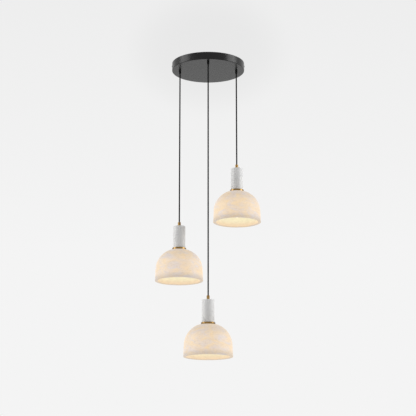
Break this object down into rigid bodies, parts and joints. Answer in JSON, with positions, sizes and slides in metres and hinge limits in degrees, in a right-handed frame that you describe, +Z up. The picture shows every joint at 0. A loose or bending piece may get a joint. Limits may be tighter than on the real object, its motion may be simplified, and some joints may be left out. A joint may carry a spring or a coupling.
{
  "type": "cluster pendant light",
  "caption": "Cluster pendant light: round dark canopy, black cords at different drops, each with a marble neck, brass disc and open alabaster bowl around a frosted bulb.",
  "frame": {"origin": "middle of the mounting bar's top face, on the ceiling plane, midway between its two ceiling-screw slots; everything hangs below it", "axes": "+Z up to the ceiling; -Y towards the side with the lowest bowl (the picture's front); +X towards the highest bowl"},
  "size_m": [0.4408, 0.3749, 1.276],
  "materials": {
    "canopy_steel": "dark gunmetal, satin",
    "zinc_steel": "zinc plated",
    "dark_screw": "blackened steel",
    "block_nylon": "natural nylon",
    "gland_nylon": "black, matte",
    "cord_fabric": "black braided sleeve",
    "polished_brass": "polished, lacquered",
    "veined_marble": "honed white marble with soft grey veins",
    "alabaster": "translucent cream alabaster with cloudy patches, honed",
    "wire_sheath": "wire insulation",
    "seal_rubber": "soft rubber",
    "holder_ceramic": "unglazed white porcelain",
    "contact_brass": "stamped brass",
    "bulb_cap_metal": "rolled thread, satin",
    "opal_glass": "opal, frosted, warm white when lit"
  },
  "bodies": {
    "root": {"canopy_pan": "canopy_steel", "crossbar": "zinc_steel", "side_screws": "dark_screw", "earth_screw": "zinc_steel", "terminal_block": "block_nylon", "terminal_screws": "zinc_steel", "block_screws": "zinc_steel", "gland_nuts": "gland_nylon", "gland_screws": "dark_screw", "cord_gland_left": "gland_nylon", "cord_tail_left": "cord_fabric", "cord_gland_middle": "gland_nylon", "cord_tail_middle": "cord_fabric", "cord_gland_right": "gland_nylon", "cord_tail_right": "cord_fabric"},
    "hang_left": {"cord_left": "cord_fabric"},
    "lamp_left": {"cord_grip_left": "polished_brass", "grip_screw_left": "polished_brass", "neck_left": "veined_marble", "collar_disc_left": "polished_brass", "shade_left": "alabaster", "threaded_rod_left": "zinc_steel", "core_wires_left": "wire_sheath", "seal_washer_left": "seal_rubber", "clamp_washer_left": "zinc_steel", "rod_nut_left": "zinc_steel", "lamp_holder_left": "holder_ceramic", "holder_contacts_left": "contact_brass"},
    "bulb_left": {"bulb_base_left": "bulb_cap_metal", "bulb_globe_left": "opal_glass"},
    "hang_middle": {"cord_middle": "cord_fabric"},
    "lamp_middle": {"cord_grip_middle": "polished_brass", "grip_screw_middle": "polished_brass", "neck_middle": "veined_marble", "collar_disc_middle": "polished_brass", "shade_middle": "alabaster", "threaded_rod_middle": "zinc_steel", "core_wires_middle": "wire_sheath", "seal_washer_middle": "seal_rubber", "clamp_washer_middle": "zinc_steel", "rod_nut_middle": "zinc_steel", "lamp_holder_middle": "holder_ceramic", "holder_contacts_middle": "contact_brass"},
    "bulb_middle": {"bulb_base_middle": "bulb_cap_metal", "bulb_globe_middle": "opal_glass"},
    "hang_right": {"cord_right": "cord_fabric"},
    "lamp_right": {"cord_grip_right": "polished_brass", "grip_screw_right": "polished_brass", "neck_right": "veined_marble", "collar_disc_right": "polished_brass", "shade_right": "alabaster", "threaded_rod_right": "zinc_steel", "core_wires_right": "wire_sheath", "seal_washer_right": "seal_rubber", "clamp_washer_right": "zinc_steel", "rod_nut_right": "zinc_steel", "lamp_holder_right": "holder_ceramic", "holder_contacts_right": "contact_brass"},
    "bulb_right": {"bulb_base_right": "bulb_cap_metal", "bulb_globe_right": "opal_glass"}
  },
  "joints": [
    {"name": "swing_left", "type": "hinge", "parent": "root", "child": "hang_left", "pos_m": [-0.1205, 0, -0.045], "axis": [0, 1, 0], "range_deg": [-2.5, 12]},
    {"name": "height_left", "type": "slide", "parent": "hang_left", "child": "lamp_left", "axis": [0, 0, 1], "range_m": [0, 0.1], "deforming": ["cord_left"]},
    {"name": "bulb_out_left", "type": "slide", "parent": "lamp_left", "child": "bulb_left", "axis": [0, 0, -1], "range_m": [0, 0.11]},
    {"name": "swing_middle", "type": "hinge", "parent": "root", "child": "hang_middle", "pos_m": [0, -0.1205, -0.045], "axis": [-1, 0, 0], "range_deg": [-2.5, 12]},
    {"name": "height_middle", "type": "slide", "parent": "hang_middle", "child": "lamp_middle", "axis": [0, 0, 1], "range_m": [0, 0.1], "deforming": ["cord_middle"]},
    {"name": "bulb_out_middle", "type": "slide", "parent": "lamp_middle", "child": "bulb_middle", "axis": [0, 0, -1], "range_m": [0, 0.11]},
    {"name": "swing_right", "type": "hinge", "parent": "root", "child": "hang_right", "pos_m": [0.1205, 0, -0.045], "axis": [0, -1, 0], "range_deg": [-2.5, 12]},
    {"name": "height_right", "type": "slide", "parent": "hang_right", "child": "lamp_right", "axis": [0, 0, 1], "range_m": [0, 0.1], "deforming": ["cord_right"]},
    {"name": "bulb_out_right", "type": "slide", "parent": "lamp_right", "child": "bulb_right", "axis": [0, 0, -1], "range_m": [0, 0.11]}
  ]
}
